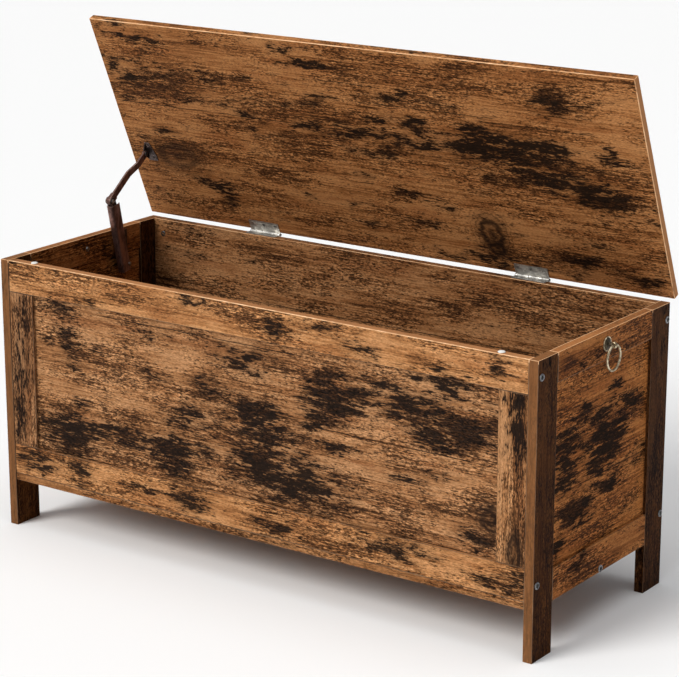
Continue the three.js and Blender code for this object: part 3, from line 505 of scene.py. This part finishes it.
lid_print = printed_wood(
    "lid_print", X, UP_LID, 7, LID_MARKS, start=1000 * hinge_line.dot(Vector(UP_LID)),
    knots=((198, 71, 22, 27, 0.8), (203, 44, 15, 12, 0.8), (-400, 129, 44, 26, 0.5)),
    joints=((315, -80, 50), (285, 30, 230), (277, 210, 420), (228, -500, 60)),
    tint=(1.0, 0.88, 0.71), soot=0.75,
    banded=((X, LID_END, 1.0), ((-1, 0, 0), LID_END, 1.0)))
dress_board("lid_board", lid_print, HIGHLIT_ARRIS)

# ---- Connector bolts ----
# Ten zinc-plated steel bolts with low round heads and six-sided sockets. They pass through the
# legs into cross dowels in the front frame, back and floor, and hold the whole chest together.
def turned(profile, sides=48, closed=False):
    """A lathe form about +Z through (radius, height) points in mm. A radius may be a function of
    the angle, for a socket that isn't round. A closed profile makes a ring, and others are capped."""
    form = bmesh.new()
    rings = []
    for radius, height in profile:
        ring = []
        for step in range(sides):
            angle = 2 * math.pi * step / sides
            reach = radius(angle) if callable(radius) else radius
            corner = (reach * math.cos(angle), reach * math.sin(angle), height)
            ring.append(form.verts.new(Vector(corner) / 1000))
        rings.append(ring)
    following = rings[1:] + rings[:1] if closed else rings[1:]
    for lower, upper in zip(rings, following):
        for step in range(sides):
            after = (step + 1) % sides
            form.faces.new((lower[step], lower[after], upper[after], upper[step]))
    if not closed:
        form.faces.new(rings[0])
        form.faces.new(rings[-1])
    return form


def facing(place, direction, roll=0.0):
    """Places a form with its +Z along a direction."""
    turn = Vector(direction).to_track_quat("Z", "Y").to_matrix().to_4x4()
    return Matrix.Translation(place) @ turn @ Matrix.Rotation(roll, 4, "Z")


def make_piece(name, forms, finish, body, slot, *replaced):
    """Makes one piece of the forms and lets it ride on a body. Each form comes with its placing,
    and with a finish of its own where it differs from the piece's."""
    whole = bmesh.new()
    finishes = [finish]
    for form, placing, *own in forms:
        bmesh.ops.transform(form, matrix=placing, verts=form.verts)
        bmesh.ops.recalc_face_normals(form, faces=form.faces)
        for face in form.faces:
            face.material_index = len(finishes) if own else 0
        finishes += own
        part = bpy.data.meshes.new("part")
        form.to_mesh(part)
        form.free()
        whole.from_mesh(part)
        bpy.data.meshes.remove(part)
    mesh = bpy.data.meshes.new(name)
    whole.to_mesh(mesh)
    whole.free()
    mesh.shade_smooth()
    mesh.set_sharp_from_angle(angle=math.radians(38))
    for used in finishes:
        mesh.materials.append(used)
    piece = bpy.data.objects.new(name, mesh)
    bpy.context.scene.collection.objects.link(piece)
    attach(piece, body)
    if replaced:
        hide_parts(*replaced)
    return piece


SCUFF_DEPTH = 0.00003


def metal(name, bright, dull, seed, rough, grain=(9, 9, 9), metallic=1.0, scuff=0.5):
    """Plated or patinated metal: cloudy tone, fine scuffs and an uneven polish."""
    finish, shader, place = new_finish(name, {"Metallic": metallic})
    cloud = place.noise(grain, seed, 3, 0.6)
    scratches = place.noise((grain[0] / 3, grain[1] / 14, grain[2] / 3), seed + 1, 3, 0.6)
    mix = (cloud + (scratches - 0.5) * scuff).rise(0.36, 0.64)
    colour = paint(dull, bright, mix)
    feed(shader, colour, scratches * 0.22 + (rough + 0.06) - mix * 0.12, scratches, SCUFF_DEPTH)
    return finish


def hexagon(apothem):
    """Outline of a six-sided socket, from the distance of its flats from the middle."""
    return lambda angle: apothem / math.cos((angle + math.pi / 6) % (math.pi / 3) - math.pi / 6)


zinc = metal("zinc_plate", (0.36, 0.36, 0.365, 1), (0.16, 0.16, 0.165, 1), 5, 0.22)
# A near-black finish for the floor of each bolt's socket: painted shade in the recess.
socket_shade = metal("socket_painted_shade", (0.040, 0.036, 0.032, 1), (0.012, 0.011, 0.010, 1), 8, 0.5,
              metallic=0.4)
BOLT_HEAD = 1.8
BOLT_PROFILE = (
    (2.0, -52), (3.0, -51), (3.0, -0.3), (3.3, 0), (5.2, 0), (5.5, 0.25), (5.5, 0.95), (5.3, 1.4),
    (4.8, 1.75), (4.5, BOLT_HEAD), (4.1, 1.75), (hexagon(3.3), 1.5), (hexagon(3.2), 0.1),
)
SOCKET_PROFILE = ((hexagon(3.17), 0.15), (hexagon(3.17), 0.5), (hexagon(2.9), 0.6))
bolt_nodes = [name for name in nodes if name.endswith("_bolt")]
for node in bolt_nodes:
    low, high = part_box(node)
    outward = 1 if low.x > 0 else -1
    tip = high.x if outward > 0 else low.x
    place = Vector((tip - outward * BOLT_HEAD / 1000, (low.y + high.y) / 2, (low.z + high.z) / 2))
    last_turn = 0.4 + 2.1 * (low.y + 3 * low.z)
    placing = facing(place, (outward, 0, 0), last_turn)
    bolt = [(turned(BOLT_PROFILE), placing), (turned(SOCKET_PROFILE), placing, socket_shade)]
    make_piece(node + "_plated", bolt, zinc, "box", "zinc", node)

# ---- Cross dowels ----
# Slotted steel barrels, let into the inner faces of the front rails and the back and into the
# underside of the floor, where the bolts screw into them.
DOWEL_IN = 34
SLOT_DEPTH = 1.1
SLOT_REACH = 3.6
SLOT_HALF = 0.65
SLOT_ROUND = 3.75
DOWEL_PROFILE = ((4.4, -11), (4.9, -10.5), (4.9, -0.3), (4.6, 0), (3.9, 0.15))


def slot_mouth(angle):
    """Outline of a screwdriver slot inside a round face."""
    to_end = SLOT_REACH / max(abs(math.cos(angle)), 1e-6)
    to_side = SLOT_HALF / max(abs(math.sin(angle)), 1e-6)
    return min(to_end, to_side, SLOT_ROUND)


for node in bolt_nodes:
    low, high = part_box(node)
    outward = 1 if low.x > 0 else -1
    x = outward * (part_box("right_top_rail")[1].x - DOWEL_IN / 1000)
    middle = (low + high) / 2
    if "floor" in node:
        place, direction = Vector((x, middle.y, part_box("floor_board")[0].z)), (0, 0, -1)
    elif "front" in node:
        place, direction = Vector((x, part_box("front_top_rail")[1].y, middle.z)), (0, 1, 0)
    else:
        place, direction = Vector((x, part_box("back_panel")[0].y, middle.z)), (0, -1, 0)
    slotted = DOWEL_PROFILE + ((slot_mouth, 0.15), (slot_mouth, -SLOT_DEPTH))
    dowel = (turned(slotted), facing(place, direction, 0.5 * outward))
    make_piece(node.replace("bolt", "cross_dowel"), [dowel], zinc, "box", "zinc")

# ---- Butt hinges ----
# Two small hinges of satin nickel plate. One leaf lies under the lid and one on the back's top
# edge, their knuckles interlock on a pin, and each leaf has three countersunk screws.
def plate(outlines, thickness, edge=0.12):
    """A flat form in XY, in mm, from an outer outline and the outlines of its holes."""
    form = bmesh.new()
    rims = []
    for outline in outlines:
        corners = [form.verts.new((x / 1000, y / 1000, -thickness / 2000)) for x, y in outline]
        rims += [form.edges.new(pair) for pair in zip(corners, corners[1:] + corners[:1])]
    filled = bmesh.ops.triangle_fill(form, use_beauty=True, edges=rims)
    faces = [item for item in filled["geom"] if isinstance(item, bmesh.types.BMFace)]
    raised = bmesh.ops.extrude_face_region(form, geom=faces)
    top = [item for item in raised["geom"] if isinstance(item, bmesh.types.BMVert)]
    bmesh.ops.translate(form, verts=top, vec=(0, 0, thickness / 1000))
    bmesh.ops.recalc_face_normals(form, faces=form.faces)
    rim = [line for line in form.edges if len(line.link_faces) == 2
           and line.calc_face_angle() > math.radians(80)
           and abs(line.verts[0].co.z - line.verts[1].co.z) < 1e-7]
    bmesh.ops.bevel(form, geom=rim, offset=edge / 1000, segments=2, profile=0.5, affect="EDGES")
    return form


def arc(x, y, radius, start, end, steps=6):
    """Points along a round stretch of an outline, between two angles in degrees."""
    turns = [math.radians(start + (end - start) * step / steps) for step in range(steps + 1)]
    return [(x + radius * math.cos(turn), y + radius * math.sin(turn)) for turn in turns]


def hole(x, y, radius, sides=28):
    """Points round the outline of a hole."""
    return arc(x, y, radius, 0, 360 - 360 / sides, sides - 1)


def cross(reach, half):
    """Outline of a cross recess: the reach of its arms and half their width."""
    def radius(angle):
        off = (angle + math.pi / 4) % (math.pi / 2) - math.pi / 4
        return min(reach / math.cos(off), half / max(abs(math.sin(off)), 1e-6))
    return radius


nickel = metal("satin_nickel", (0.62, 0.60, 0.56, 1), (0.34, 0.33, 0.31, 1), 11, 0.34,
               grain=(16, 16, 16))
# The screws and the pin take a much darker nickel: painted shade standing in for the screws' recesses.
nickel_with_painted_shade = metal("nickel_with_painted_shade", (0.34, 0.33, 0.31, 1), (0.13, 0.125, 0.12, 1), 13, 0.25)
HEAD = 2.9
SCREW_PROFILE = (
    (0.25, -10), (1.0, -8.3), (1.5, -7), (1.5, -1.6), (HEAD - 0.05, -0.25), (HEAD, -0.12),
    (HEAD - 0.1, 0), (2.1, 0), (cross(1.75, 0.42), -0.05), (cross(1.55, 0.36), -0.3),
    (cross(0.7, 0.25), -1.2),
)
LEAF_LENGTH = 60
KNUCKLES = 5
KNUCKLE = 2.8
PIN = 1.2
KNUCKLE_GAP = 0.3
SETBACK = 3.1
LEAF = 0.9
LEAF_LEVEL = -0.55
LID_LEAF = {"width": 18, "screws_in": 12, "corner": 1.6}
RIM_LEAF = {"width": 13, "screws_in": 7, "corner": 1.2}
TOOTH_END = 1.4
SCREW_PITCH = 23
TUBE_PROFILE = ((PIN + 0.15, 0.25), (PIN + 0.4, 0), (KNUCKLE - 0.3, 0), (KNUCKLE, 0.3))
into_lid = Vector((0, -math.sin(lid_open), -math.cos(lid_open)))


def hinge_frame(across, outward, middle):
    """Placing whose Y runs over the leaf away from the knuckles and whose Z leaves its face."""
    side = Vector(across).cross(Vector(outward))
    axes = Matrix((side, Vector(across), Vector(outward))).transposed().to_4x4()
    return Matrix.Translation(middle) @ axes


def leaf_forms(first, width, screws_in, corner):
    """A leaf's plate, toothed where its own knuckles are, and those knuckles from the first on."""
    step = LEAF_LENGTH / KNUCKLES
    half = LEAF_LENGTH / 2
    teeth = []
    tubes = []
    for count in range(first, KNUCKLES, 2):
        start = -half + count * step + KNUCKLE_GAP / 2
        end = start + step - KNUCKLE_GAP
        teeth += [(start, SETBACK), (start, TOOTH_END), (end, TOOTH_END), (end, SETBACK)]
        far = [(radius, end - start - height) for radius, height in reversed(TUBE_PROFILE)]
        tube = turned(TUBE_PROFILE + tuple(far), 32, closed=True)
        tubes.append((tube, facing((start / 1000, 0, 0), (1, 0, 0))))
    lead = [] if first == 0 else [(-half, SETBACK)]
    trail = [] if (KNUCKLES - first) % 2 else [(half, SETBACK)]
    far_edge = SETBACK + width
    outline = lead + teeth + trail + arc(half - corner, far_edge - corner, corner, 0, 90)
    outline += arc(corner - half, far_edge - corner, corner, 90, 180)
    holes = [hole(row * SCREW_PITCH, SETBACK + screws_in, HEAD + 0.15) for row in (-1, 0, 1)]
    sheet = plate([outline] + holes, LEAF)
    return [(sheet, Matrix.Translation((0, 0, LEAF_LEVEL / 1000)))] + tubes


def leaf_screw(leaf_frame, row, screws_in, turn):
    """A countersunk screw in one of a leaf's three holes, counted from -1 to 1."""
    over = Vector((row * SCREW_PITCH, SETBACK + screws_in, LEAF_LEVEL + LEAF / 2)) / 1000
    placing = leaf_frame @ Matrix.Translation(over) @ Matrix.Rotation(turn, 4, "Z")
    return turned(SCREW_PROFILE, 32), placing


for side in ("left", "right"):
    low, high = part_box(side + "_hinge_pin")
    middle = Vector(((low.x + high.x) / 2, hinge_line.y, hinge_line.z))
    lid_frame = hinge_frame(UP_LID, into_lid, middle)
    rim_frame = hinge_frame((0, -1, 0), (0, 0, 1), middle)
    lid_leaf = [(form, lid_frame @ placing) for form, placing in leaf_forms(0, **LID_LEAF)]
    make_piece(side + "_nickel_lid_leaf", lid_leaf, nickel, "lid", "nickel", side + "_hinge_lid_leaf")
    rim_leaf = [(form, rim_frame @ placing) for form, placing in leaf_forms(1, **RIM_LEAF)]
    make_piece(side + "_nickel_rim_leaf", rim_leaf, nickel, "box", "nickel", side + "_hinge_box_leaf")
    reach = (high.x - low.x) * 500
    half_pin = [(PIN, reach - 1.0), (2.0, reach - 0.9), (2.3, reach - 0.55), (1.7, reach - 0.1),
                (0.6, reach)]
    other_half = [(radius, -height) for radius, height in reversed(half_pin)]
    pin = (turned(other_half + half_pin, 24), facing(middle, (1, 0, 0)))
    make_piece(side + "_nickel_hinge_pin", [pin], nickel_with_painted_shade, "box", "nickel", side + "_hinge_pin")
    for row in (-1, 0, 1):
        number = str(2 + (row if lid_frame[0][0] > 0 else -row))
        screw = leaf_screw(lid_frame, row, LID_LEAF["screws_in"], 0.5 + row * 0.9)
        make_piece(side + "_lid_leaf_screw_" + number, [screw], nickel_with_painted_shade, "lid", "nickel",
                   side + "_hinge_screw_" + number)
        screw = leaf_screw(rim_frame, row, RIM_LEAF["screws_in"], 1.1 - row * 0.6)
        make_piece(side + "_rim_leaf_screw_" + number, [screw], nickel_with_painted_shade, "box", "nickel")

# ---- Ring pulls ----
# Cast zinc in antique brass: a domed rose with a raised rim, a post with an eye, and a loose ring.
# A pan-head screw from inside the chest holds the rose.
brass = metal("antique_brass", (0.74, 0.64, 0.45, 1), (0.26, 0.20, 0.12, 1), 19, 0.26,
              grain=(7, 7, 7))
dark_brass = metal("dark_brass", (0.13, 0.105, 0.07, 1), (0.035, 0.028, 0.020, 1), 23, 0.30,
                   grain=(5, 5, 5))
ROSE_PROFILE = (
    (1.9, 0), (9.6, 0), (9.6, 0.9), (9.0, 1.15), (8.2, 2.0), (6.8, 2.8), (5.4, 3.25), (4.3, 3.7),
    (3.5, 4.5), (3.0, 5.6), (2.9, 7.2),
)
RIM_PROFILE = ((9.3, 0), (10.7, 0), (11, 0.35), (11, 1.0), (10.65, 1.5), (10.1, 1.62), (9.6, 1.4),
               (9.3, 1.05))
EYE_PROFILE = ((2.4, -1.3), (2.8, -2.1), (3.6, -2.5), (4.5, -2.1), (5.0, -1.1),
               (5.0, 1.1), (4.5, 2.1), (3.6, 2.5), (2.8, 2.1), (2.4, 1.3))
PAN_PROFILE = ((1.9, -20.3), (1.9, 0), (3.9, 0), (4.0, 0.3), (3.9, 1.1), (3.3, 1.85), (2.6, 2.15),
               (cross(2.2, 0.5), 2.1), (cross(1.9, 0.4), 1.7), (cross(0.8, 0.3), 0.6))
PAN_HEAD = 2.2
WIRE = 1.75
for side, outward in (("left", -1), ("right", 1)):
    low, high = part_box(side + "_pull_rose")
    back = high.x if outward < 0 else low.x
    middle = (low + high) / 2
    ring_low, ring_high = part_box(side + "_pull_ring")
    eye = Vector(((ring_low.x + ring_high.x) / 2, middle.y, middle.z))
    placing = facing((back, middle.y, middle.z), (outward, 0, 0))
    # The raised rim is bright brass round the darker dome: a rubbed high edge with a painted highlight
    # on it.
    rim = turned(RIM_PROFILE, 64, closed=True)
    rose = [(turned(ROSE_PROFILE, 64), placing), (rim, placing, brass)]
    loop = (turned(EYE_PROFILE, 40, closed=True), facing(eye, (0, 1, 0)))
    make_piece(side + "_domed_rose", rose, dark_brass, "box", "antique_brass", side + "_pull_rose")
    make_piece(side + "_ring_eye", [loop], brass, "box", "antique_brass")
    swing = (ring_high.z - ring_low.z) * 500 - WIRE
    wire = [(swing + WIRE * math.cos(turn), WIRE * math.sin(turn))
            for turn in (2 * math.pi * step / 16 for step in range(16))]
    centre = (ring_low + ring_high) / 2
    ring = (turned(wire, 96, closed=True), facing(centre, (1, 0, 0)))
    make_piece(side + "_loose_ring", [ring], brass, side + "_pull_ring", "antique_brass",
               side + "_pull_ring")
    low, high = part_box(side + "_pull_screw")
    inside = (high.x if outward < 0 else low.x) + outward * PAN_HEAD / 1000
    screw = (turned(PAN_PROFILE), facing((inside, middle.y, middle.z), (-outward, 0, 0), 0.3))
    make_piece(side + "_pan_head_screw", [screw], zinc, "box", "zinc", side + "_pull_screw")

# ---- Lid stay ----
# A folding stay of pressed steel in antique bronze: a wall plate, a hollow barrel with a yoke in
# its mouth, a flat arm that steps sideways to the lid's bracket, and bright rivets at the pivots.
bronze = metal("antique_bronze", (0.290, 0.165, 0.135, 1), (0.105, 0.056, 0.046, 1), 29, 0.34,
               grain=(12, 12, 30), metallic=0.85)
dark_bronze = metal("dark_bronze", (0.095, 0.070, 0.064, 1), (0.030, 0.022, 0.020, 1), 31, 0.34,
                    grain=(8, 8, 8), metallic=0.85)
# The pressings' rounded edges take a pale bronze: rubbed wear with a painted highlight on it.
bronze_edge_rub_and_highlight = metal("bronze_rub_and_painted_highlight", (0.60, 0.43, 0.36, 1), (0.30, 0.18, 0.14, 1), 37, 0.28,
                    grain=(6, 6, 6), metallic=0.9)
for node, finish, edge in (
    ("stay_barrel", bronze, 0.35), ("stay_yoke", dark_bronze, 0.25), ("stay_arm", bronze, 0.35),
    ("stay_lid_bracket", dark_bronze, 0.2), ("stay_wall_plate", dark_bronze, 0.3),
):
    pressing = nodes[node]
    pressing.data.materials.clear()
    pressing.data.materials.append(finish)
    pressing.data.materials.append(bronze_edge_rub_and_highlight)
    soften_edges(pressing, edge)

RIVET_DOME = 1.1
RIVET_HEAD = ((1.5, 0), (3.3, 0), (3.6, 0.25), (3.35, 0.7), (2.5, 1.0), (1.3, RIVET_DOME))
for node, body in (("stay_foot_rivet", "box"), ("stay_elbow_rivet", "stay_barrel"),
                   ("stay_lid_rivet", "lid")):
    low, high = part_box(node)
    length = (high.x - low.x) * 1000
    outer = [(radius, length - RIVET_DOME + height) for radius, height in RIVET_HEAD]
    inner = [(radius, RIVET_DOME - height) for radius, height in reversed(RIVET_HEAD)]
    start = Vector((low.x, (low.y + high.y) / 2, (low.z + high.z) / 2))
    rivet = (turned(inner + outer, 40), facing(start, (1, 0, 0)))
    make_piece(node + "_domed", [rivet], zinc, body, "zinc", node)

into_chest = Vector((1, 0, 0))
for node, body, direction in (
    ("stay_plate_screw_1", "box", into_chest), ("stay_plate_screw_2", "box", into_chest),
    ("stay_bracket_screw_1", "lid", into_lid), ("stay_bracket_screw_2", "lid", into_lid),
):
    corners = [vertex.co for vertex in nodes[node].data.vertices]
    tops = [corner.dot(direction) for corner in corners]
    rim = [corner for corner, top in zip(corners, tops) if top > max(tops) - 1e-5]
    head = sum(rim, Vector()) / len(rim)
    screw = (turned(SCREW_PROFILE, 32), facing(head, direction, 0.7))
    make_piece(node + "_bronzed", [screw], dark_bronze, body, "bronze", node)

# ---- Bumper pads ----
# Two soft white rubber domes stuck on the front rail, which keep the lid from slamming.
rubber, rubber_shader, rubber_place = new_finish("white_rubber", {"Specular IOR Level": 0.35})
cloud = rubber_place.noise((6, 6, 6), 41, 3, 0.6)
rubber_colour = paint((0.74, 0.73, 0.69, 1), (0.86, 0.86, 0.84, 1), cloud.rise(0.35, 0.65))
RUBBER_RELIEF = 0.00005
feed(rubber_shader, rubber_colour, cloud * 0.3 + 0.35, cloud, RUBBER_RELIEF)
PAD_PROFILE = ((4.9, 0), (5.4, 0.15), (5.5, 0.5), (5.25, 1.1), (4.6, 1.6), (3.4, 1.95), (1.8, 2.08),
               (0.6, 2.1))
for side in ("left", "right"):
    low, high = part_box(side + "_bumper")
    foot = ((low.x + high.x) / 2, (low.y + high.y) / 2, low.z)
    pad = (turned(PAD_PROFILE), facing(foot, (0, 0, 1)))
    make_piece(side + "_rubber_pad", [pad], rubber, "box", "white_rubber", side + "_bumper")
